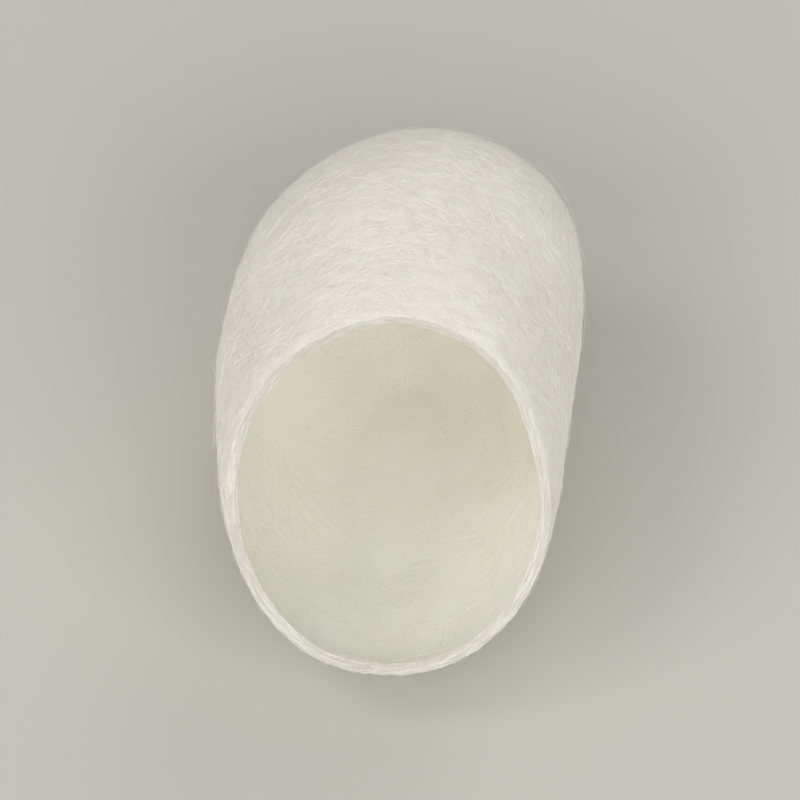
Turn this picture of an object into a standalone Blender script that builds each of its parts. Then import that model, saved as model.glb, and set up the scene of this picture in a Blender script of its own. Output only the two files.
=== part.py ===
"""A silk cocoon, cut open at one end and lying on its small flat spot.

The cocoon is one piece: a thin egg-shaped shell of spun silk. Lengths are in metres
and angles in degrees. While it is shaped, its long axis is the Y axis, with the
closed end at +Y and the cut mouth at -Y, and up is +Z. At the end it is moved so
that the origin lies under its middle, on the surface that it rests on.
"""

import math

import bmesh
import bpy
from mathutils import Matrix, Vector, noise

# The egg
HALF_LENGTH = 0.0170  # from the middle to either end of the uncut cocoon
MID_RADIUS = 0.01025  # at the middle
FULLNESS = 2.7  # 2 makes the side an ellipse, more makes it squarer
TAPER = 0.09  # share by which the closed end is fuller and the cut end slimmer
LEAN = 0.0020  # sideways reach of the closed end
WALL = 0.00065  # thickness of the spun silk

# The cut mouth
CUT_AT = 0.0092  # from the middle to where the cut crosses the long axis
CUT_SLANT = 37.5  # how far the cut leans back towards the closed end at the top
CUT_WAVER = 0.00016  # how far the scissors strayed from a flat cut
CUT_WAVES = ((2, 40.0, 1.0), (5, 115.0, 0.6), (9, 10.0, 0.3))  # waves round, phase, share

# The flat spot that it rests on
FLAT_DEPTH = 0.00035  # cut off below the round body

# Unevenness of the spun surface
SWELL_HEIGHT = 0.00022
SWELL_SIZE = 0.0065
DENT_RADIUS = 0.0042
DENTS = (  # distance from the closed end as a turn, angle round the axis, depth
    (62.0, 62.0, 0.00034),
    (84.0, 148.0, 0.00030),
    (48.0, 205.0, 0.00026),
    (98.0, -28.0, 0.00028),
)

# Fineness of the mesh
SEGMENTS_ROUND = 56
RINGS = 34

SILK_COLOUR = (0.80, 0.775, 0.70, 1.0)
SILK_ROUGHNESS = 0.75


def clear_scene():
    """Remove every object."""
    for old in list(bpy.data.objects):
        bpy.data.objects.remove(old)


def silk_material():
    """Return the matt off-white finish of the silk."""
    material = bpy.data.materials.new("silk")
    material.use_nodes = True
    shader = material.node_tree.nodes["Principled BSDF"]
    shader.inputs["Base Color"].default_value = SILK_COLOUR
    shader.inputs["Roughness"].default_value = SILK_ROUGHNESS
    shader.inputs["Metallic"].default_value = 0.0
    return material


def egg_point(turn, side):
    """Return a point of the smooth egg.

    turn is the angle from the closed end (0) past the middle (90 degrees) and side is
    the angle round the long axis from +X towards +Z, both in radians.
    """
    along = math.cos(turn)
    radius = MID_RADIUS * (1 - abs(along) ** FULLNESS) ** (1 / FULLNESS)
    radius *= 1 + TAPER * along
    lean = LEAN * max(along, 0.0) ** 2
    return Vector((
        radius * math.cos(side) + lean,
        HALF_LENGTH * along,
        radius * math.sin(side),
    ))


def mouth_gap(turn, side):
    """Return how far a point of the egg is inside the cut, along the axis."""
    point = egg_point(turn, side)
    cut = -CUT_AT + point.z * math.tan(math.radians(CUT_SLANT))
    for waves, phase, share in CUT_WAVES:
        cut += CUT_WAVER * share * math.sin(waves * side + math.radians(phase))
    return point.y - cut


def mouth_turn(side):
    """Return the turn at which the egg meets the cut, found by halving."""
    low = math.radians(60)
    high = math.radians(179)
    for _ in range(40):
        middle = (low + high) / 2
        if mouth_gap(middle, side) > 0:
            low = middle
        else:
            high = middle
    return (low + high) / 2


def swell(point):
    """Return how far the surface stands out at a point of the smooth egg."""
    height = SWELL_HEIGHT * noise.noise(point / SWELL_SIZE)
    for turn, side, depth in DENTS:
        centre = egg_point(math.radians(turn), math.radians(side))
        reach = (point - centre).length / DENT_RADIUS
        height -= depth * math.exp(-reach ** 2)
    return height


def shape_shell(bm):
    """Turn an open unit sphere, with its poles on Y, into the outside of the cocoon."""
    last_ring_turn = math.pi * (1 - 1 / RINGS)
    for vert in bm.verts:
        side = math.atan2(vert.co.z, vert.co.x)
        share = math.acos(max(-1.0, min(1.0, vert.co.y))) / last_ring_turn
        point = egg_point(share * mouth_turn(side), side)
        outward = Vector((point.x, 0.0, point.z))
        if share < 0.5 / RINGS:
            outward = Vector((0.0, 1.0, 0.0))
        vert.co = point + outward.normalized() * swell(point)


def flatten_bottom(bm):
    """Flatten the lowest part and set the shell on the origin."""
    low = min(vert.co.z for vert in bm.verts) + FLAT_DEPTH
    for vert in bm.verts:
        vert.co.z = max(vert.co.z, low)
    xs = [vert.co.x for vert in bm.verts]
    ys = [vert.co.y for vert in bm.verts]
    middle = Vector(((min(xs) + max(xs)) / 2, (min(ys) + max(ys)) / 2, low))
    bmesh.ops.translate(bm, vec=-middle, verts=bm.verts)


def build_cocoon(collection):
    """Make the shell: an open egg given its wall by a Solidify modifier."""
    bm = bmesh.new()
    bmesh.ops.create_uvsphere(
        bm,
        u_segments=SEGMENTS_ROUND,
        v_segments=RINGS,
        radius=1.0,
        matrix=Matrix.Rotation(math.radians(-90), 4, "X"),
    )
    mouth_pole = min(bm.verts, key=lambda vert: vert.co.y)
    bmesh.ops.delete(bm, geom=[mouth_pole], context="VERTS")
    shape_shell(bm)
    flatten_bottom(bm)
    mesh = bpy.data.meshes.new("cocoon")
    bm.to_mesh(mesh)
    bm.free()
    mesh.shade_smooth()
    mesh.set_sharp_from_angle(angle=math.radians(40))

    cocoon = bpy.data.objects.new("cocoon", mesh)
    cocoon.data.materials.append(silk_material())
    collection.objects.link(cocoon)
    wall = cocoon.modifiers.new("wall", "SOLIDIFY")
    wall.thickness = WALL
    wall.offset = -1.0
    wall.use_even_offset = True
    return cocoon


def main():
    """Build the cocoon in a collection of its own."""
    clear_scene()
    collection = bpy.data.collections.new("silk_cocoon")
    bpy.context.scene.collection.children.link(collection)
    build_cocoon(collection)


main()
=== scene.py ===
"""Looks of a cut silk cocoon: its wrinkled shell, laid silk, floss and cut edge.

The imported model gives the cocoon's place and size. Lengths here are in metres, in the
same frame: +Y runs along the cocoon to its closed end, and +Z is up. Angles that are set
as fields are in degrees.
"""

from __future__ import annotations

import logging
import math
from dataclasses import dataclass, field
from enum import Enum

import bpy
import numpy as np
from bpy.types import ID, Material, Mesh, Node, NodeOutputs, NodeSocket, NodeTree, Object
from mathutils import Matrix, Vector, noise
from mathutils.bvhtree import BVHTree

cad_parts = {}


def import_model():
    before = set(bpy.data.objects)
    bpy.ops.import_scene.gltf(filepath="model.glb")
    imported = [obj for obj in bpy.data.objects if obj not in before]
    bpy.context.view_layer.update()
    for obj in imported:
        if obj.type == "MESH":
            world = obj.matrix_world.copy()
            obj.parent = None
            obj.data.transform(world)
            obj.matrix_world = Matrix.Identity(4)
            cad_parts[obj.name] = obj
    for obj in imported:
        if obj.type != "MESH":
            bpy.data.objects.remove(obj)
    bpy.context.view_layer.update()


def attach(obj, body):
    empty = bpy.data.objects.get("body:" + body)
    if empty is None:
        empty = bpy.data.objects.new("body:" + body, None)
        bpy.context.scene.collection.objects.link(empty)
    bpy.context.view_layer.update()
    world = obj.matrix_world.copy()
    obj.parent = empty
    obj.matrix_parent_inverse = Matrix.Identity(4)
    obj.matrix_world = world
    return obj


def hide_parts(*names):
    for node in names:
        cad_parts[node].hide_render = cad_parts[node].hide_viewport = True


LOG = logging.getLogger("silk_cocoon")
MM = 0.001
NODE = "cocoon"
BODY = "root"
BAKE_MAP = "OFBake"
# The mark of painted shade in the shell's wrinkle seams and low creases.
PAINTED_SHADE = "silk_painted_shade"
LAYER_DEPTH = "silk_layer_depth"
STRAND_TINT = "strand_tint"
# The outer layers of laid silk, each with the seed of its random numbers.
OUTER_SILK = {"laid_silk_a": 11, "laid_silk_b": 12, "laid_silk_c": 14}

Triple = tuple[float, float, float]
Span = tuple[float, float]
Labels = tuple[tuple[str, str], ...]
Values = dict[str | int, object]


class Layer(Enum):
    """The faces of the shell, numbered as its material slots are."""

    OUTSIDE = 0
    INSIDE = 1
    CUT = 2


class Side(Enum):
    """The side of a surface that silk lies on, as a sign along its normal."""

    OUTER = 1.0
    INNER = -1.0


# --- small tools ---


def unit(vectors: np.ndarray) -> np.ndarray:
    """Return vectors scaled to a length of one."""
    return vectors / np.linalg.norm(vectors, axis=-1, keepdims=True)


def noise_at(points: np.ndarray, scale: float = 1.0, lift: float = 0.0) -> np.ndarray:
    """Sample smooth noise, between -1 and 1.

    Args:
        points: a list of points.
        scale: how far they are spread first.
        lift: how far they are raised then.

    Returns:
        The noise at each point.
    """
    shift = Vector((0.0, 0.0, lift))
    return np.array([noise.noise(Vector(point) * scale + shift) for point in points])


def placed(name: str, data: ID) -> Object:
    """Put new data in the scene.

    Args:
        name: the name of its object.
        data: a mesh, lamp or camera.

    Returns:
        The object that holds it.
    """
    thing = bpy.data.objects.new(name, data)
    bpy.context.scene.collection.objects.link(thing)
    return thing


def grid_corners(rows: int, columns: int) -> tuple[np.ndarray, np.ndarray]:
    """Find the corners of the quads of a grid that is closed round its columns.

    Args:
        rows: rows of points.
        columns: columns of points.

    Returns:
        The rows and the columns of each quad's four corners, in the order that faces outward.
    """
    row, column = np.divmod(np.arange((rows - 1) * columns)[:, None], columns)
    return row + np.array([0, 0, 1, 1]), column + np.array([0, 1, 1, 0])


def grid_quads(rows: int, columns: int) -> np.ndarray:
    """Return the point numbers of the four corners of each quad of a closed grid."""
    row, column = grid_corners(rows, columns)
    return row * columns + column % columns


def grid_places(down: np.ndarray, across: np.ndarray) -> np.ndarray:
    """Lay the quads of a closed grid out on a map.

    Args:
        down: the place of each row of points.
        across: the place of each column, and of the first one again past the seam.

    Returns:
        The places of the four corners of each quad.
    """
    row, column = grid_corners(len(down), len(across) - 1)
    return np.stack([across[column], down[row]], axis=-1)


def finish_mesh(
    mesh: Mesh,
    places: np.ndarray,
    marks: dict[str, np.ndarray],
    materials: list[Material],
    crease_angle: float,
) -> None:
    """Give a mesh its map for baking, its marks, its materials and its shading.

    Args:
        mesh: the mesh.
        places: the place of each corner on the map.
        marks: a number for each point, under each attribute's name.
        materials: its materials, in the order of their slots.
        crease_angle: the angle in degrees past which an edge is sharp.
    """
    chart = mesh.uv_layers.new(name=BAKE_MAP)
    chart.uv.foreach_set("vector", places.astype(np.float32).ravel())
    for name, values in marks.items():
        mark = mesh.attributes.new(name, "FLOAT", "POINT")
        mark.data.foreach_set("value", values.astype(np.float32))
    for material in materials:
        mesh.materials.append(material)
    mesh.shade_smooth()
    mesh.set_sharp_from_angle(angle=math.radians(crease_angle))
    mesh.update()


# --- finishes ---


@dataclass
class NodeBoard:
    """A node tree that is wired up by short calls."""

    tree: NodeTree

    def fill(self, node: Node, values: Values) -> None:
        """Give a node's inputs their values.

        Args:
            node: the node.
            values: for inputs by name or number, an output to join to it or a constant.
        """
        for key, value in values.items():
            if isinstance(value, NodeSocket):
                self.tree.links.new(value, node.inputs[key])
            else:
                node.inputs[key].default_value = value

    def add(self, kind: str, values: Values | None = None, **settings: object) -> Node:
        """Add a node.

        Args:
            kind: the node's class name.
            values: what its inputs get.
            settings: the node's own properties, by name.

        Returns:
            The new node.
        """
        node = self.tree.nodes.new(kind)
        for name, setting in settings.items():
            setattr(node, name, setting)
        self.fill(node, values or {})
        return node

    def effect(self, shared: SharedEffect, values: Values) -> NodeOutputs:
        """Return the outputs of a shared effect, placed with values of its own."""
        return self.add("ShaderNodeGroup", values, node_tree=shared.tree()).outputs

    def place(self) -> NodeSocket:
        """Return the place on the object, which its patterns follow."""
        return self.add("ShaderNodeTexCoord").outputs["Object"]

    def mark(self, name: str) -> NodeSocket:
        """Return a mark that the mesh's points carry."""
        return self.add("ShaderNodeAttribute", attribute_name=name).outputs["Fac"]

    def math(self, operation: str, *operands: NodeSocket | float) -> NodeSocket:
        """Return the result of a Math node on outputs or numbers."""
        return self.add("ShaderNodeMath", dict(enumerate(operands)), operation=operation).outputs[0]

    def mix(self, share: NodeSocket, first: NodeSocket, second: NodeSocket) -> NodeSocket:
        """Mix two colours.

        Args:
            share: how much there is of the second colour.
            first: one colour.
            second: the other colour.

        Returns:
            The mixed colour.
        """
        node = self.add("ShaderNodeMix", {"Factor": share, "A": first, "B": second}, data_type="RGBA")
        return node.outputs["Result"]

    def stepped(self, source: NodeSocket, span: Span) -> NodeSocket:
        """Raise a value smoothly from 0 to 1.

        Args:
            source: the value.
            span: where the rise starts and where it ends.

        Returns:
            The risen value.
        """
        limits = {"Value": source, "From Min": span[0], "From Max": span[1]}
        return self.add("ShaderNodeMapRange", limits, interpolation_type="SMOOTHSTEP").outputs["Result"]


@dataclass(frozen=True)
class SharedEffect:
    """A shader group that several finishes place, each with its own values."""

    name: str
    inputs: Labels
    outputs: Labels

    def tree(self) -> NodeTree:
        """Return the group, which is built the first time.

        Returns:
            The group's node tree.
        """
        found = bpy.data.node_groups.get(self.name)
        if found:
            return found
        tree = bpy.data.node_groups.new(self.name, "ShaderNodeTree")
        for in_out, sockets in (("INPUT", self.inputs), ("OUTPUT", self.outputs)):
            for label, kind in sockets:
                tree.interface.new_socket(label, in_out=in_out, socket_type=f"NodeSocket{kind}")
        board = NodeBoard(tree)
        results = self._wire(board, board.add("NodeGroupInput").outputs)
        board.add("NodeGroupOutput", results)
        return tree

    def _wire(self, board: NodeBoard, given: NodeOutputs) -> Values:
        """Return what goes into the group's outputs, made of what its inputs give."""
        raise NotImplementedError


@dataclass(frozen=True)
class MattedFibre(SharedEffect):
    """Fine matted fibres, as a height and as a mask."""

    name: str = "silk_fibre"
    inputs: Labels = (("Scale", "Float"), ("Stretch", "Float"))
    outputs: Labels = (("Height", "Float"), ("Mask", "Float"))
    turns: tuple[Triple, ...] = ((20, 15, 40), (-35, 60, 110), (75, -25, -30))
    detail: float = 2.0
    waver: float = 0.35
    narrowness: float = 5.0
    mask_power: float = 3.0

    def _wire(self, board: NodeBoard, given: NodeOutputs) -> Values:
        """Draw thin ridges along a few directions and keep the highest.

        Args:
            board: the group's board.
            given: the group's inputs.

        Returns:
            The height and the mask.
        """
        place, scale = board.place(), given["Scale"]
        lengthwise = board.math("DIVIDE", scale, given["Stretch"])
        squeeze = board.add("ShaderNodeCombineXYZ", {"X": scale, "Y": scale, "Z": lengthwise}).outputs[0]
        top: NodeSocket | float = 0.0
        for turns in self.turns:
            rotation = [math.radians(turn) for turn in turns]
            turned = board.add("ShaderNodeMapping", {"Vector": place, "Rotation": rotation}).outputs[0]
            drawn = board.add("ShaderNodeVectorMath", {0: turned, 1: squeeze}, operation="MULTIPLY")
            pattern = {"Scale": 1.0, "Detail": self.detail, "Distortion": self.waver}
            grain = board.add("ShaderNodeTexNoise", {"Vector": drawn.outputs[0], **pattern})
            away = board.math("ABSOLUTE", board.math("SUBTRACT", grain.outputs["Fac"], 0.5))
            ridge = board.math("SUBTRACT", 1.0, board.math("MULTIPLY", away, self.narrowness))
            top = board.math("MAXIMUM", ridge, top)
        return {"Height": top, "Mask": board.math("POWER", top, self.mask_power)}


@dataclass(frozen=True)
class SilkTint(SharedEffect):
    """The silk's colour, with warmer patches and a third colour mixed in by a given share: painted shade on
    matted silk, a real tint on strands.
    """

    name: str = "silk_tint"
    inputs: Labels = (
        ("Silk", "Color"),
        ("Warm", "Color"),
        ("Painted Shade And Tint Colour", "Color"),
        ("Painted Shade And Tint Share", "Float"),
        ("Patch Scale", "Float"),
        ("Amount", "Float"),
    )
    outputs: Labels = (("Color", "Color"),)
    detail: float = 4.0
    roughness: float = 0.6
    edge: Span = (0.38, 0.66)

    def _wire(self, board: NodeBoard, given: NodeOutputs) -> Values:
        """Mix the three colours.

        Args:
            board: the group's board.
            given: the group's inputs.

        Returns:
            The mixed colour.
        """
        pattern = {"Scale": given["Patch Scale"], "Detail": self.detail, "Roughness": self.roughness}
        patch = board.add("ShaderNodeTexNoise", {"Vector": board.place(), **pattern})
        patches = board.stepped(patch.outputs["Fac"], self.edge)
        share = board.math("MULTIPLY", patches, given["Amount"])
        warmed = board.mix(share, given["Silk"], given["Warm"])
        return {"Color": board.mix(given["Painted Shade And Tint Share"], warmed, given["Painted Shade And Tint Colour"])}


@dataclass(frozen=True)
class SilkFinish:
    """What all the finishes share: three colours, mixed over the surface; the third is painted shade on
    matted silk and a warmer tint on strands.
    """

    name: str
    silk: Triple
    warm: Triple
    painted_shade_and_tint: Triple
    patch_scale: float = 160.0
    patch_amount: float = 0.6
    gloss: float = 0.35

    def build(self) -> Material:
        """Make the material.

        Returns:
            A material whose colour changes over the surface.
        """
        material = bpy.data.materials.new(self.name)
        material.use_nodes = True
        board = NodeBoard(material.node_tree)
        tints = {
            "Silk": (*self.silk, 1.0),
            "Warm": (*self.warm, 1.0),
            "Painted Shade And Tint Colour": (*self.painted_shade_and_tint, 1.0),
            "Painted Shade And Tint Share": self._painted_shade_and_tint_share(board),
            "Patch Scale": self.patch_scale,
            "Amount": self.patch_amount,
        }
        shader = board.tree.nodes["Principled BSDF"]
        board.fill(shader, {"Metallic": 0.0, "Specular IOR Level": self.gloss})
        board.fill(shader, {"Base Color": board.effect(SilkTint(), tints)["Color"]})
        board.fill(shader, self._surface(board))
        return material

    def _painted_shade_and_tint_share(self, board: NodeBoard) -> NodeSocket:
        """Return the share of the third colour: painted shade on matted silk, a real tint on strands."""
        raise NotImplementedError

    def _surface(self, board: NodeBoard) -> Values:
        """Return what this finish adds to the shader's inputs."""
        raise NotImplementedError


@dataclass(frozen=True)
class MattedFinish(SilkFinish):
    """A matt, slightly translucent surface of matted silk."""

    # How strongly the painted shade darkens the silk.
    painted_shade_share: float = 0.25
    fibre_scale: float = 5200.0
    fibre_stretch: float = 9.0
    fibre_depth: float = 0.034 * MM
    rough_low: float = 0.62
    rough_high: float = 0.80
    translucency: float = 0.4
    scatter: Triple = (1.0, 0.9, 0.75)
    scatter_reach: float = 1.6 * MM
    sheen: float = 0.12
    sheen_roughness: float = 0.5

    def _painted_shade_and_tint_share(self, board: NodeBoard) -> NodeSocket:
        """Return the share of painted shade, which the wrinkles' seams and low creases get."""
        return board.math("MULTIPLY", board.mark(PAINTED_SHADE), self.painted_shade_share)

    def _relief(self, board: NodeBoard) -> tuple[NodeSocket, NodeSocket]:
        """Draw the matted fibres.

        Args:
            board: the material's board.

        Returns:
            Their height and their mask.
        """
        fibre = board.effect(MattedFibre(), {"Scale": self.fibre_scale, "Stretch": self.fibre_stretch})
        return fibre["Height"], fibre["Mask"]

    def _surface(self, board: NodeBoard) -> Values:
        """Add the light that soaks in, the soft sheen and the fibres.

        Args:
            board: the material's board.

        Returns:
            What goes into the shader's inputs.
        """
        height, mask = self._relief(board)
        roughness = {"Value": mask, "To Min": self.rough_high, "To Max": self.rough_low}
        relief = {"Height": height, "Strength": 1.0, "Distance": self.fibre_depth}
        return {
            "Subsurface Weight": self.translucency,
            "Subsurface Radius": self.scatter,
            "Subsurface Scale": self.scatter_reach,
            "Sheen Weight": self.sheen,
            "Sheen Roughness": self.sheen_roughness,
            "Roughness": board.add("ShaderNodeMapRange", roughness).outputs["Result"],
            "Normal": board.add("ShaderNodeBump", relief).outputs["Normal"],
        }


@dataclass(frozen=True)
class CutFinish(MattedFinish):
    """The finish of the cut edge, where the layers of the wall show as fine raised lines with painted shade
    between them.
    """

    layers: float = 10.0
    ripple: float = 700.0
    line_detail: float = 3.0
    line_edge: Span = (0.36, 0.56)
    line_height: float = 1.3

    def _lines(self, board: NodeBoard) -> NodeSocket:
        """Draw lines along the edge, one for each layer of silk.

        Args:
            board: the material's board.

        Returns:
            A value that is low between two layers.
        """
        ripple = {0: board.place(), "Scale": self.ripple}
        slow = board.add("ShaderNodeVectorMath", ripple, operation="SCALE")
        depth = board.math("MULTIPLY", board.mark(LAYER_DEPTH), self.layers)
        pattern = {"Vector": slow.outputs[0], "W": depth, "Scale": 1.0, "Detail": self.line_detail}
        lines = board.add("ShaderNodeTexNoise", pattern, noise_dimensions="4D")
        return board.stepped(lines.outputs["Fac"], self.line_edge)

    def _painted_shade_and_tint_share(self, board: NodeBoard) -> NodeSocket:
        """Return the share of painted shade, more in the gaps between the layers."""
        return board.math("MULTIPLY", board.math("SUBTRACT", 1.0, self._lines(board)), self.painted_shade_share)

    def _relief(self, board: NodeBoard) -> tuple[NodeSocket, NodeSocket]:
        """Draw the fibres and the layers.

        Args:
            board: the material's board.

        Returns:
            Their height and their mask.
        """
        height, mask = super()._relief(board)
        raised = board.math("MULTIPLY", self._lines(board), self.line_height)
        return board.math("ADD", raised, height), mask


@dataclass(frozen=True)
class StrandFinish(SilkFinish):
    """The finish of separate silk strands, a little glossier than matted silk."""

    patch_scale: float = 420.0
    patch_amount: float = 0.5
    gloss: float = 0.4
    roughness: float = 0.48

    def _painted_shade_and_tint_share(self, board: NodeBoard) -> NodeSocket:
        """Return each strand's own random share of the warmer tint, the same all along it; strands get no
        painted shade.
        """
        return board.mark(STRAND_TINT)

    def _surface(self, board: NodeBoard) -> Values:
        """Return the strands' roughness."""
        return {"Roughness": self.roughness}


@dataclass(frozen=True)
class CocoonFinishes:
    """The finishes of the cocoon's layers and strands."""

    # Each matted finish's third colour is painted shade; for the strands it is only a warmer tint.
    outside: SilkFinish = MattedFinish(
        "silk_outside", silk=(0.845, 0.818, 0.745), warm=(0.83, 0.795, 0.705), painted_shade_and_tint=(0.80, 0.76, 0.67)
    )
    # Paler, creamier silk than outside: inner silk is smooth and pale, and its colour is also raised as
    # painted light to brighten the shaded hollow.
    inside: SilkFinish = MattedFinish(
        "silk_inside",
        silk=(0.95, 0.936, 0.825),
        warm=(0.94, 0.92, 0.79),
        painted_shade_and_tint=(0.91, 0.885, 0.75),
        rough_low=0.5,
        rough_high=0.68,
    )
    cut: SilkFinish = CutFinish(
        "silk_cut_edge",
        silk=(0.715, 0.694, 0.63),
        warm=(0.695, 0.667, 0.59),
        painted_shade_and_tint=(0.61, 0.58, 0.51),
        # strong painted shade between the cut edge's layers
        painted_shade_share=0.7,
    )
    outside_strands: SilkFinish = StrandFinish(
        "silk_strands", silk=(0.855, 0.83, 0.76), warm=(0.83, 0.795, 0.715), painted_shade_and_tint=(0.83, 0.795, 0.715)
    )
    # Like the inside: partly the inner silk's own pale colour, partly raised as painted light for the
    # shaded hollow.
    inside_strands: SilkFinish = StrandFinish(
        "silk_strands_inside", silk=(0.95, 0.936, 0.83), warm=(0.94, 0.92, 0.79), painted_shade_and_tint=(0.94, 0.92, 0.79)
    )

    def layers(self) -> dict[Layer, Material]:
        """Return the material of each layer of the shell."""
        finishes = {Layer.OUTSIDE: self.outside, Layer.INSIDE: self.inside, Layer.CUT: self.cut}
        return {layer: finish.build() for layer, finish in finishes.items()}


# --- the form ---


@dataclass(frozen=True)
class CocoonForm:
    """The smooth form of the cocoon, with the sizes that its solid has."""

    half_length: float = 17.0 * MM
    mid_radius: float = 10.25 * MM
    fullness: float = 2.7
    taper: float = 0.09
    lean: float = 2.0 * MM
    wall: float = 0.65 * MM
    cut_at: float = 9.2 * MM
    cut_slant: float = 37.5
    cut_waver: float = 0.16 * MM
    # Waves round the cut: how many, their phase and their share of the waver.
    cut_waves: tuple[tuple[int, float, float], ...] = ((2, 40.0, 1.0), (5, 115.0, 0.6), (9, 10.0, 0.3))
    cut_search: Span = (60.0, 179.0)
    halvings: int = 40
    flat_depth: float = 0.35 * MM
    swell_height: float = 0.22 * MM
    swell_size: float = 6.5 * MM
    dent_radius: float = 4.2 * MM
    # Dents: the turn from the closed end, the angle round the axis and the depth.
    dents: tuple[Triple, ...] = (
        (62.0, 62.0, 0.34 * MM),
        (84.0, 148.0, 0.30 * MM),
        (48.0, 205.0, 0.26 * MM),
        (98.0, -28.0, 0.28 * MM),
    )

    def egg(self, turn: np.ndarray, side: np.ndarray) -> np.ndarray:
        """Return points of the smooth egg.

        Args:
            turn: angles from the closed end, in radians.
            side: angles round the long axis from +X towards +Z, in radians.

        Returns:
            The points, with a last axis of three.
        """
        along = np.cos(turn)
        radius = self.mid_radius * (1 - np.abs(along) ** self.fullness) ** (1 / self.fullness)
        radius = radius * (1 + self.taper * along)
        lean = self.lean * np.maximum(along, 0.0) ** 2
        return np.stack(
            [radius * np.cos(side) + lean, self.half_length * along, radius * np.sin(side)], axis=-1
        )

    def cut_line(self, points: np.ndarray, side: np.ndarray) -> np.ndarray:
        """Find where along Y the cut lies.

        Args:
            points: places at whose height it is wanted.
            side: their angles round the long axis, in radians.

        Returns:
            The cut's place along Y at each point.
        """
        cut = -self.cut_at + points[..., 2] * math.tan(math.radians(self.cut_slant))
        for waves, phase, share in self.cut_waves:
            cut = cut + self.cut_waver * share * np.sin(waves * side + math.radians(phase))
        return cut

    def mouth_turn(self, side: np.ndarray) -> np.ndarray:
        """Find the turn at which the egg meets the cut, by halving.

        Args:
            side: angles round the long axis, in radians.

        Returns:
            The turn on each side, in radians.
        """
        low, high = (np.full_like(side, math.radians(limit)) for limit in self.cut_search)
        for _ in range(self.halvings):
            middle = (low + high) / 2
            points = self.egg(middle, side)
            inside = points[..., 1] > self.cut_line(points, side)
            low = np.where(inside, middle, low)
            high = np.where(inside, high, middle)
        return (low + high) / 2

    def swell(self, points: np.ndarray) -> np.ndarray:
        """Measure how far the spun surface stands out.

        Args:
            points: points of the smooth egg, with a last axis of three.

        Returns:
            The height at each point.
        """
        flat = points.reshape(-1, 3)
        heights = self.swell_height * noise_at(flat / self.swell_size)
        for turn, side, depth in self.dents:
            centre = self.egg(np.radians(turn), np.radians(side))
            reach = np.linalg.norm(flat - centre, axis=1) / self.dent_radius
            heights -= depth * np.exp(-(reach**2))
        return heights.reshape(points.shape[:-1])

    def surface(self, rows: int, columns: int) -> SurfaceGrid:
        """Return the outside of the cocoon, in the frame of its solid.

        Args:
            rows: how many steps there are from the closed end to the cut.
            columns: how many steps there are round it.

        Returns:
            A grid of points whose first row is the closed end.
        """
        side = np.linspace(0.0, 2 * math.pi, columns, endpoint=False)
        turn = np.linspace(0.0, 1.0, rows + 1)[:, None] * self.mouth_turn(side)[None, :]
        side = np.broadcast_to(side, turn.shape)
        points = self.egg(turn, side)
        outward = [np.sin(turn) * np.cos(side), np.cos(turn), np.sin(turn) * np.sin(side)]
        points = points + np.stack(outward, axis=-1) * self.swell(points)[..., None]
        low = points[..., 2].min() + self.flat_depth
        points[..., 2] = np.maximum(points[..., 2], low)
        middle = (points.reshape(-1, 3).min(0) + points.reshape(-1, 3).max(0)) / 2
        middle[2] = low
        return SurfaceGrid(points - middle)


@dataclass
class SurfaceGrid:
    """Points in rows from the closed end to the cut, and columns round the axis."""

    points: np.ndarray
    normals: np.ndarray = field(init=False)
    cover: np.ndarray = field(init=False)

    def __post_init__(self) -> None:
        """Work out the outward normals and how much of the area lies up to each point."""
        around = np.roll(self.points, -1, axis=1) - np.roll(self.points, 1, axis=1)
        normals = np.cross(around, np.gradient(self.points, axis=0))
        areas = np.linalg.norm(normals, axis=2)
        self.cover = np.cumsum(areas) / areas.sum()
        normals[0] = normals[1].mean(axis=0)
        self.normals = unit(normals)

    def raised(self, heights: np.ndarray) -> SurfaceGrid:
        """Return this grid moved out along its normals by heights."""
        return SurfaceGrid(self.points + self.normals * heights[..., None])

    def ahead(self) -> np.ndarray:
        """Return the unit direction out of the cut at each point of the last row."""
        return unit(self.points[-1] - self.points[-2])

    def pick(self, rng: np.random.Generator) -> tuple[np.ndarray, np.ndarray]:
        """Pick a place on the surface, evenly by area.

        Args:
            rng: the source of random numbers.

        Returns:
            The place and its normal.
        """
        row, column = divmod(int(np.searchsorted(self.cover, rng.random())), self.points.shape[1])
        return self.points[row, column], self.normals[row, column]

    def tree(self) -> BVHTree:
        """Return a search tree over the grid's faces."""
        quads = grid_quads(*self.points.shape[:2])
        return BVHTree.FromPolygons(self.points.reshape(-1, 3).tolist(), quads.tolist())


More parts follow.
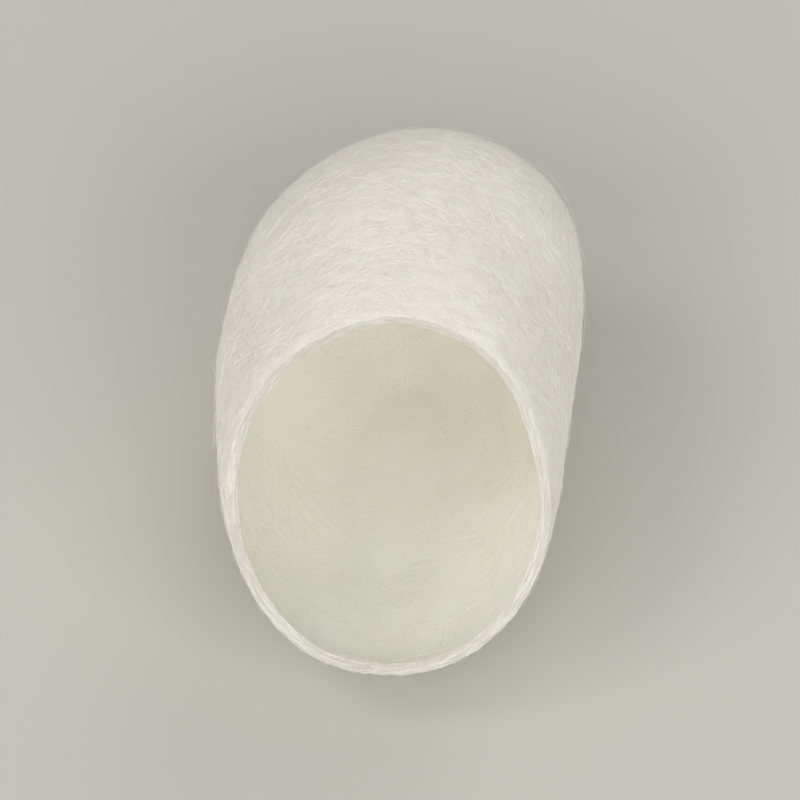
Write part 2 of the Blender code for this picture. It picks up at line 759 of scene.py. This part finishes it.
@dataclass(frozen=True)
class Wrinkles:
    """Fine puckers and creases that the drying silk has pulled into the surface."""

    pucker_depth: float = 0.036 * MM
    pucker_size: float = 1.3 * MM
    pucker_edge: float = 0.2
    crease_height: float = 0.070 * MM
    crease_size: float = 1.5 * MM
    crease_octaves: int = 4
    octave_height: float = 0.6
    octave_ratio: float = 2.1
    across: float = 1.4
    warp: float = 0.35
    offset: float = 0.0
    # How much painted shade the pucker seams and the low creases get, and the crease level below which it
    # starts.
    seam_shade: float = 0.6
    hollow_shade: float = 0.9
    hollow_level: float = 0.35

    def _at(self, place: np.ndarray) -> tuple[float, float]:
        """Measure the wrinkles at one place.

        Args:
            place: the place.

        Returns:
            The height there, and the share of painted shade there.
        """
        spot = Vector(place) / self.pucker_size
        spot = spot + noise.noise_vector(spot) * self.warp
        distances = noise.voronoi(spot)[0]
        seam = math.exp(-(((distances[1] - distances[0]) / self.pucker_edge) ** 2))
        crease = noise.turbulence(
            Vector(place) / self.crease_size,
            self.crease_octaves,
            True,
            amplitude_scale=self.octave_height,
            frequency_scale=self.octave_ratio,
        )
        hollow = max(0.0, self.hollow_level - crease)
        height = self.crease_height * crease - self.pucker_depth * seam
        return height, min(1.0, self.seam_shade * seam + self.hollow_shade * hollow)

    def measure(self, points: np.ndarray) -> tuple[np.ndarray, np.ndarray]:
        """Measure the wrinkles at points of the surface.

        Args:
            points: places on the surface, with a last axis of three.

        Returns:
            The height at each place, and its share of painted shade, from 0 to 1.
        """
        flat = points.reshape(-1, 3) * np.array([1.0, self.across, 1.0]) + self.offset
        measures = np.array([self._at(place) for place in flat])
        shape = points.shape[:-1]
        return measures[:, 0].reshape(shape), measures[:, 1].reshape(shape)


@dataclass(frozen=True)
class LiningWrinkles(Wrinkles):
    """The shallower wrinkles of the inside, in other places than those outside."""

    pucker_depth: float = 0.015 * MM
    crease_height: float = 0.03 * MM
    crease_size: float = 2.4 * MM
    offset: float = 0.05


# --- the shell ---


@dataclass
class CocoonShell:
    """The wall of spun silk: its outside, its inside and the cut edge between them."""

    name: str = "cocoon_shell"
    form: CocoonForm = field(default_factory=CocoonForm)
    outside_wrinkles: Wrinkles = field(default_factory=Wrinkles)
    inside_wrinkles: Wrinkles = field(default_factory=LiningWrinkles)
    columns: int = 360
    rows: int = 176
    inside_step: int = 2
    edge_rings: int = 8
    edge_layer_height: float = 0.035 * MM
    edge_grain: float = 0.6 * MM
    edge_roughness: float = 1.3
    edge_shift: float = 7.3
    nibble: float = 0.05 * MM
    nibble_size: float = 1.1 * MM
    nibble_ratio: float = 2.7
    crease_angle: float = 55.0
    noise_seed: int = 5
    outside: SurfaceGrid = field(init=False)
    inside: SurfaceGrid = field(init=False)
    painted_shades: dict[Layer, np.ndarray] = field(init=False, default_factory=dict)

    def __post_init__(self) -> None:
        """Seed the noise, then shape the outside and the inside."""
        noise.seed_set(self.noise_seed)
        base = self._nibbled(self.form.surface(self.rows, self.columns))
        heights, self.painted_shades[Layer.OUTSIDE] = self.outside_wrinkles.measure(base.points)
        rough = base.raised(heights - heights.mean()).points
        rough[..., 2] = np.maximum(rough[..., 2], 0.0)
        self.outside = SurfaceGrid(rough)

        chosen = np.arange(0, self.rows + 1, self.inside_step)
        lining = SurfaceGrid((base.points - base.normals * self.form.wall)[chosen])
        heights, self.painted_shades[Layer.INSIDE] = self.inside_wrinkles.measure(lining.points)
        self.inside = lining.raised(heights.mean() - heights)

    def _nibbled(self, grid: SurfaceGrid) -> SurfaceGrid:
        """Make the cut line slightly uneven, as scissors leave it.

        Args:
            grid: the smooth outside.

        Returns:
            The grid with its last row moved.
        """
        points = grid.points.copy()
        grain = points[-1] / self.nibble_size
        bites = noise_at(grain) + noise_at(grain, self.nibble_ratio) / 2
        points[-1] += grid.ahead() * bites[:, None] * self.nibble
        return SurfaceGrid(points)

    def _edge(self) -> np.ndarray:
        """Tear the cut edge into uneven layers.

        Returns:
            Rings of points across the edge, from the outside to the inside.
        """
        outer, inner = self.outside.points[-1], self.inside.points[-1]
        ahead = self.outside.ahead()
        rings = []
        for ring in range(1, self.edge_rings + 1):
            share = ring / (self.edge_rings + 1)
            points = outer + (inner - outer) * share
            rough = noise_at(points / self.edge_grain, lift=self.edge_shift * ring)
            layer = (ring % 2 - 0.5 + self.edge_roughness * rough) * self.edge_layer_height
            rings.append(points + ahead * layer[:, None])
        return np.array(rings)

    def _skin(self, rows: int) -> tuple[np.ndarray, list[list[int]], np.ndarray]:
        """Join rows of points into one skin whose first and last rows are single points.

        Args:
            rows: how many rows there are.

        Returns:
            The numbers of the points that stay, the faces, and the corners' places on the map.
        """
        number = np.arange(rows * self.columns)
        number[: self.columns] = 0
        number[-self.columns :] = (rows - 1) * self.columns
        kept, number = np.unique(number, return_inverse=True)
        quads = number[grid_quads(rows, self.columns)]
        used = np.ones(quads.shape, dtype=bool)
        used[: self.columns, 1] = False
        used[-self.columns :, 2] = False
        faces = [quad[corners].tolist() for quad, corners in zip(quads, used)]
        places = grid_places(np.linspace(0.0, 1.0, rows), np.linspace(0.0, 1.0, self.columns + 1))
        return kept, faces, places[used]

    def build(self, finishes: dict[Layer, Material]) -> Object:
        """Make the shell as one closed mesh: along the outside, over the cut and back inside.

        Args:
            finishes: the material of each layer.

        Returns:
            The shell, dressed and with a map for baking.
        """
        bands = np.concatenate([self.outside.points, self._edge(), self.inside.points[::-1]])
        # Painted shade from the wrinkles outside and inside; none on the cut edge.
        painted_shade = np.zeros(bands.shape[:2])
        painted_shade[: self.rows + 1] = self.painted_shades[Layer.OUTSIDE]
        painted_shade[-len(self.inside.points) :] = self.painted_shades[Layer.INSIDE][::-1]
        depth = np.clip((np.arange(len(bands)) - self.rows) / (self.edge_rings + 1), 0.0, 1.0)
        layers = np.full(len(bands) - 1, Layer.CUT.value, dtype=np.int32)
        layers[depth[1:] == 0.0] = Layer.OUTSIDE.value
        layers[depth[:-1] == 1.0] = Layer.INSIDE.value

        kept, faces, places = self._skin(len(bands))
        mesh = bpy.data.meshes.new(self.name)
        mesh.from_pydata(bands.reshape(-1, 3)[kept].tolist(), [], faces)
        mesh.polygons.foreach_set("material_index", np.repeat(layers, self.columns))
        marks = {PAINTED_SHADE: painted_shade.ravel()[kept], LAYER_DEPTH: np.repeat(depth, self.columns)[kept]}
        finish_mesh(mesh, places, marks, [finishes[layer] for layer in Layer], self.crease_angle)
        return placed(self.name, mesh)


# --- strands ---


@dataclass
class StrandBundle:
    """Many thin silk strands, closed and tapered at both ends, that become one mesh."""

    name: str
    sides: int = 3
    tip: float = 0.25
    crease_angle: float = 100.0
    strip_margin: float = 0.1
    strands: list[np.ndarray] = field(default_factory=list)
    tints: list[float] = field(default_factory=list)
    triangles: int = 0

    def add(self, path: np.ndarray, up: np.ndarray, width: float, height: float, tint: float) -> None:
        """Add a strand.

        Args:
            path: the points that it follows.
            up: the direction away from what it lies on, one for all points or one for each.
            width: how wide it is.
            height: how thick it is.
            tint: its share of the warmer colour.
        """
        ahead = unit(np.gradient(path, axis=0))
        across = unit(np.cross(ahead, up))
        over = np.cross(across, ahead)
        size = np.ones((len(path), 1))
        size[0] = size[-1] = self.tip
        angles = math.pi / 2 - np.arange(self.sides) * 2 * math.pi / self.sides
        rings = [
            path
            + across * (math.cos(angle) * width / 2 * size)
            + over * (math.sin(angle) * height / 2 * size)
            for angle in angles
        ]
        self.strands.append(np.stack(rings, axis=1))
        self.tints.append(tint)
        self.triangles += 2 * self.sides * (len(path) - 1) + 2 * (self.sides - 2)

    def _strip(self, index: int) -> tuple[np.ndarray, np.ndarray]:
        """Lay a strand's corners out on a strip of its own on the map for baking.

        Args:
            index: the strand's number.

        Returns:
            The places of the corners of its quads, and of its two end caps.
        """
        along = np.linspace(0.0, 1.0, len(self.strands[index]))
        share = np.arange(self.sides + 1) / self.sides
        across = index + self.strip_margin + (1 - 2 * self.strip_margin) * share
        across /= len(self.strands)
        caps = [(end, place) for end in (0.0, 1.0) for place in across[:-1]]
        return grid_places(along, across)[..., ::-1].reshape(-1, 2), np.array(caps)

    def build(self, finish: Material) -> Object:
        """Make the bundle's mesh.

        Args:
            finish: the strands' material.

        Returns:
            The dressed bundle.
        """
        quads, caps, start = [], [], 0
        for rings in self.strands:
            quads.append(grid_quads(len(rings), self.sides) + start)
            first = np.arange(start, start + self.sides)
            start += len(rings) * self.sides
            caps += [first[::-1].tolist(), np.arange(start - self.sides, start).tolist()]
        mesh = bpy.data.meshes.new(self.name)
        points = np.concatenate([rings.reshape(-1, 3) for rings in self.strands])
        mesh.from_pydata(points.tolist(), [], np.concatenate(quads).tolist() + caps)
        strips = [self._strip(index) for index in range(len(self.strands))]
        places = np.concatenate([strip[0] for strip in strips] + [strip[1] for strip in strips])
        counts = [rings.shape[0] * rings.shape[1] for rings in self.strands]
        marks = {STRAND_TINT: np.repeat(self.tints, counts)}
        finish_mesh(mesh, places, marks, [finish], self.crease_angle)
        return placed(self.name, mesh)


@dataclass
class LaidSilk:
    """The silk that the worm laid in drifting figures of eight over a surface."""

    grid: SurfaceGrid
    name: str
    seed: int
    triangles: int = 165_000
    side: Side = Side.OUTER
    width: float = 0.036 * MM
    width_spread: Span = (0.75, 1.2)
    height: float = 0.020 * MM
    height_spread: Span = (0.8, 1.2)
    bury: float = 0.40
    pile: float = 0.010 * MM
    reach: Span = (2.2 * MM, 3.8 * MM)
    swing: Span = (0.55 * MM, 1.05 * MM)
    loops: Span = (1.2, 3.2)
    creep: Span = (0.35 * MM, 0.85 * MM)
    lean_spread: float = 0.35
    wander: float = 0.03
    loop_length: float = 4.3
    step: float = 0.36 * MM
    fewest_steps: int = 8
    fewest_points: int = 5
    steep: float = 0.9

    def build(self, finish: Material) -> Object:
        """Lay every strand and make the bundle.

        Args:
            finish: the strands' material.

        Returns:
            The bundle of strands.
        """
        rng = np.random.default_rng(self.seed)
        tree = self.grid.tree()
        bundle = StrandBundle(self.name)
        while bundle.triangles < self.triangles:
            path = self._figure(rng, *self.grid.pick(rng))
            width = self.width * rng.uniform(*self.width_spread)
            height = self.height * rng.uniform(*self.height_spread)
            lift = height * (0.5 - self.bury) + rng.uniform(0.0, self.pile)
            tint = rng.uniform(0.0, 1.0) ** 2
            for run, normals in self._laid(tree, path, lift, width):
                bundle.add(run, normals, width, height, tint)
        return bundle.build(finish)

    def _figure(self, rng: np.random.Generator, spot: np.ndarray, up: np.ndarray) -> np.ndarray:
        """Draw a drifting figure of eight on the plane that touches the surface.

        Args:
            rng: the source of random numbers.
            spot: the middle of the figure.
            up: the surface's normal there.

        Returns:
            The points of the figure.
        """
        axis = np.array([0.0, 1.0, 0.0]) if abs(up[1]) < self.steep else np.array([1.0, 0.0, 0.0])
        first = unit(np.cross(up, axis))
        second = np.cross(up, first)
        reach = rng.uniform(*self.reach)
        swing = rng.uniform(*self.swing)
        loops = rng.uniform(*self.loops)
        length = loops * self.loop_length * math.hypot(reach, 2 * swing)
        steps = max(self.fewest_steps, int(length / self.step))
        angle = np.linspace(0.0, 2 * math.pi * loops, steps)
        drift = rng.uniform(*self.creep) * angle / (2 * math.pi)
        lean = rng.normal(0.0, self.lean_spread)
        start = rng.uniform(0.0, 2 * math.pi)
        x = reach * np.sin(angle + start) + drift * math.sin(lean)
        y = swing * np.sin(2 * (angle + start)) + drift * math.cos(lean)
        turn = rng.uniform(0.0, math.pi) + rng.normal(0.0, self.wander) * angle
        along = x * np.cos(turn) - y * np.sin(turn)
        beside = x * np.sin(turn) + y * np.cos(turn)
        return spot + along[:, None] * first + beside[:, None] * second

    def _laid(
        self, tree: BVHTree, path: np.ndarray, lift: float, width: float
    ) -> list[tuple[np.ndarray, np.ndarray]]:
        """Drop a path on the surface and cut it at the mouth.

        Args:
            tree: the surface.
            path: the path, close to the surface.
            lift: how far above the surface it runs.
            width: the strand's width.

        Returns:
            Each run of the strand that lies on the surface, with its normals.
        """
        runs: list[tuple[list[np.ndarray], list[np.ndarray]]] = [([], [])]
        for point in path:
            found = tree.find_nearest(Vector(point))
            place, normal = np.array(found[0]), np.array(found[1])
            gap = point - place
            if np.linalg.norm(gap - normal * (gap @ normal)) > width:
                runs.append(([], []))
                continue
            spot = place + normal * lift * self.side.value
            if self.side is Side.OUTER:
                spot[2] = max(spot[2], width / 2)
            runs[-1][0].append(spot)
            runs[-1][1].append(normal * self.side.value)
        return [(np.array(run), np.array(ups)) for run, ups in runs if len(run) >= self.fewest_points]


@dataclass
class LiningSilk(LaidSilk):
    """The silk that shows inside the cocoon, on the inner side of the wall."""

    name: str = "laid_silk_inside"
    seed: int = 13
    triangles: int = 110_000
    side: Side = Side.INNER


@dataclass
class LooseFloss:
    """Long stray threads that stand off the outside in low arches."""

    grid: SurfaceGrid
    name: str = "loose_floss"
    strands: int = 60
    seed: int = 71
    width: float = 0.018 * MM
    width_spread: Span = (0.7, 1.2)
    rise: Span = (0.05 * MM, 0.32 * MM)
    reach: Span = (2.0 * MM, 7.0 * MM)
    steps: int = 26
    bow: float = 0.3
    wave: float = 0.08
    bluntness: float = 0.7
    clearance: float = 1 / 3
    warmest: float = 0.6
    lowest: float = 2.5 * MM

    def build(self, finish: Material) -> Object:
        """Make the arches.

        Args:
            finish: the strands' material.

        Returns:
            The bundle of arches.
        """
        rng = np.random.default_rng(self.seed)
        tree = self.grid.tree()
        bundle = StrandBundle(self.name)
        share = np.linspace(0.0, 1.0, self.steps)
        while len(bundle.strands) < self.strands:
            spot, up = self.grid.pick(rng)
            heading = rng.normal(0.0, 1.0, 3)
            heading = unit(heading - up * (heading @ up))
            beside = np.cross(up, heading)
            reach = rng.uniform(*self.reach)
            bow = rng.uniform(-self.bow, self.bow) * reach * np.sin(math.pi * share)
            bow += rng.uniform(-self.wave, self.wave) * reach * np.sin(2 * math.pi * share)
            rise = rng.uniform(*self.rise) * np.sin(math.pi * share) ** self.bluntness
            width = self.width * rng.uniform(*self.width_spread)
            tint = rng.uniform(0.0, self.warmest)
            if spot[2] < self.lowest:
                continue
            path, ups = [], []
            for step, side, lift in zip(share * reach, bow, rise):
                found = tree.find_nearest(Vector(spot + heading * step + beside * side))
                path.append(np.array(found[0]) + np.array(found[1]) * (lift + width * self.clearance))
                ups.append(np.array(found[1]))
            bundle.add(np.array(path), np.array(ups), width, width, tint)
        return bundle.build(finish)


@dataclass
class FineFuzz(LooseFloss):
    """Short fine threads that blur the outline of the outside."""

    name: str = "fine_fuzz"
    strands: int = 1500
    seed: int = 72
    width: float = 0.013 * MM
    rise: Span = (0.03 * MM, 0.15 * MM)
    reach: Span = (0.5 * MM, 1.9 * MM)
    steps: int = 8


@dataclass
class CutFray:
    """Short ends of silk that stand out of the cut edge."""

    shell: CocoonShell
    name: str = "cut_fray"
    strands: int = 640
    seed: int = 29
    width: float = 0.017 * MM
    width_spread: Span = (0.6, 1.2)
    length: Span = (0.06 * MM, 0.30 * MM)
    long_chance: float = 0.06
    long_by: float = 2.2
    rooted: float = 0.15
    steps: int = 9
    splay: float = 0.7
    rise: float = 0.35
    curl: float = 0.5
    warmest: float = 0.5

    def build(self, finish: Material) -> Object:
        """Make the cut ends.

        Args:
            finish: the strands' material.

        Returns:
            The bundle of ends.
        """
        rng = np.random.default_rng(self.seed)
        outer, inner = self.shell.outside, self.shell.inside
        heads = outer.ahead()
        bundle = StrandBundle(self.name)
        for _ in range(self.strands):
            column = rng.integers(len(heads))
            share = rng.uniform(0.0, 1.0)
            root = outer.points[-1, column] * (1 - share) + inner.points[-1, column] * share
            ahead, up = heads[column], outer.normals[-1, column]
            beside = np.cross(up, ahead)
            lean = beside * rng.normal(0.0, self.splay) + up * rng.normal(0.0, self.rise) * self.splay
            heading = unit(ahead + lean)
            bend = beside * rng.normal(0.0, self.curl) + up * rng.normal(0.0, self.curl / 2)
            length = rng.uniform(*self.length)
            if rng.random() < self.long_chance:
                length *= self.long_by
            step = np.linspace(-self.rooted, 1.0, self.steps)[:, None] * length
            path = root + heading * step + bend * step**2 / length
            path[:, 2] = np.maximum(path[:, 2], self.width)
            width = self.width * rng.uniform(*self.width_spread)
            bundle.add(path, up, width, width, rng.uniform(0.0, self.warmest))
        return bundle.build(finish)


# --- the studio ---


@dataclass(frozen=True)
class SoftLamp:
    """A square soft light."""

    name: str
    place: Triple
    size: float
    power: float
    colour: Triple = (1.0, 1.0, 1.0)

    def build(self, target: Vector) -> None:
        """Make the lamp.

        Args:
            target: the point that it shines at.
        """
        data = bpy.data.lights.new(self.name, "AREA")
        data.shape = "SQUARE"
        data.size = self.size
        data.energy = self.power
        data.color = self.colour
        lamp = placed(self.name, data)
        lamp.location = self.place
        lamp.rotation_euler = (Vector(self.place) - target).to_track_quat("Z", "Y").to_euler()


@dataclass
class Studio:
    """A pale floor, soft light and the camera."""

    floor_colour: Triple = (0.53, 0.52, 0.472)
    floor_roughness: float = 0.9
    floor_gloss: float = 0.2
    floor_radius: float = 2.0
    floor_corners: int = 96
    world_colour: Triple = (0.97, 0.98, 1.0)
    world_strength: float = 0.32
    azimuth: float = 2.5
    elevation: float = 52.0
    distance: float = 0.50
    fill: float = 0.68
    sensor: float = 36.0
    lamps: tuple[SoftLamp, ...] = (
        SoftLamp("key", (-0.30, 0.00, 0.40), 0.22, 0.42, (1.0, 0.985, 0.955)),
        SoftLamp("left", (-0.34, -0.36, 0.34), 0.36, 0.93),
        SoftLamp("right", (0.32, -0.34, 0.30), 0.36, 0.91),
        SoftLamp("front", (0.00, -0.60, 0.34), 0.60, 2.5),
        SoftLamp("back", (0.20, 0.52, 0.25), 0.36, 1.10),
    )

    def build(self, seen: np.ndarray) -> None:
        """Make the floor, the lights and the camera.

        Args:
            seen: points of the cocoon, which the camera centres.
        """
        self._floor()
        self._world()
        middle = Vector((seen.min(0) + seen.max(0)) / 2)
        for lamp in self.lamps:
            lamp.build(middle)
        self._camera(seen)
        bpy.context.scene.view_settings.view_transform = "Standard"

    def _floor(self) -> None:
        """Make the round pale floor."""
        bpy.ops.mesh.primitive_circle_add(
            vertices=self.floor_corners, radius=self.floor_radius, fill_type="NGON"
        )
        floor = bpy.context.object
        floor.name = "floor"
        material = bpy.data.materials.new("floor_paper")
        material.use_nodes = True
        paper = {
            "Base Color": (*self.floor_colour, 1.0),
            "Roughness": self.floor_roughness,
            "Specular IOR Level": self.floor_gloss,
        }
        tree = material.node_tree
        NodeBoard(tree).fill(tree.nodes["Principled BSDF"], paper)
        floor.data.materials.append(material)

    def _world(self) -> None:
        """Light the scene evenly from all round."""
        world = bpy.data.worlds.new("studio")
        world.use_nodes = True
        light = {"Color": (*self.world_colour, 1.0), "Strength": self.world_strength}
        NodeBoard(world.node_tree).fill(world.node_tree.nodes["Background"], light)
        bpy.context.scene.world = world

    def _camera(self, seen: np.ndarray) -> None:
        """Place the camera at the photograph's angle, with the cocoon in its middle.

        Args:
            seen: points of the cocoon.
        """
        turn, rise = math.radians(self.azimuth), math.radians(self.elevation)
        back = np.array([math.sin(turn) * math.cos(rise), -math.cos(turn) * math.cos(rise), math.sin(rise)])
        right = np.array([math.cos(turn), math.sin(turn), 0.0])
        up = np.cross(back, right)
        spans = [(seen @ axis).min() + (seen @ axis).max() for axis in (right, up, back)]
        target = (right * spans[0] + up * spans[1] + back * spans[2]) / 2
        data = bpy.data.cameras.new("camera")
        data.sensor_width = self.sensor
        data.lens = self.sensor * self.distance * self.fill / np.ptp(seen @ up)
        camera = placed("camera", data)
        camera.location = Vector(target + back * self.distance)
        camera.rotation_mode = "QUATERNION"
        camera.rotation_quaternion = Vector(back).to_track_quat("Z", "Y")
        bpy.context.scene.camera = camera


# --- the whole ---


def settle(piece: Object) -> None:
    """Fasten a piece to the cocoon's body and report its triangles."""
    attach(piece, BODY)
    triangles = sum(len(face.vertices) - 2 for face in piece.data.polygons)
    LOG.info("%s: %d triangles", piece.name, triangles)


def main() -> None:
    """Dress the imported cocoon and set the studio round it."""
    logging.basicConfig(level=logging.INFO, format="%(name)s: %(message)s")
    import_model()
    finishes = CocoonFinishes()

    shell = CocoonShell()
    wall = shell.build(finishes.layers())
    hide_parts(NODE)
    settle(wall)

    strands = finishes.outside_strands.build()
    lining_strands = finishes.inside_strands.build()
    for name, seed in OUTER_SILK.items():
        settle(LaidSilk(shell.outside, name, seed).build(strands))
    settle(LiningSilk(shell.inside).build(lining_strands))
    settle(LooseFloss(shell.outside).build(strands))
    settle(FineFuzz(shell.outside).build(strands))
    settle(CutFray(shell).build(strands))

    Studio().build(shell.outside.points.reshape(-1, 3))


if __name__ == "__main__":
    main()
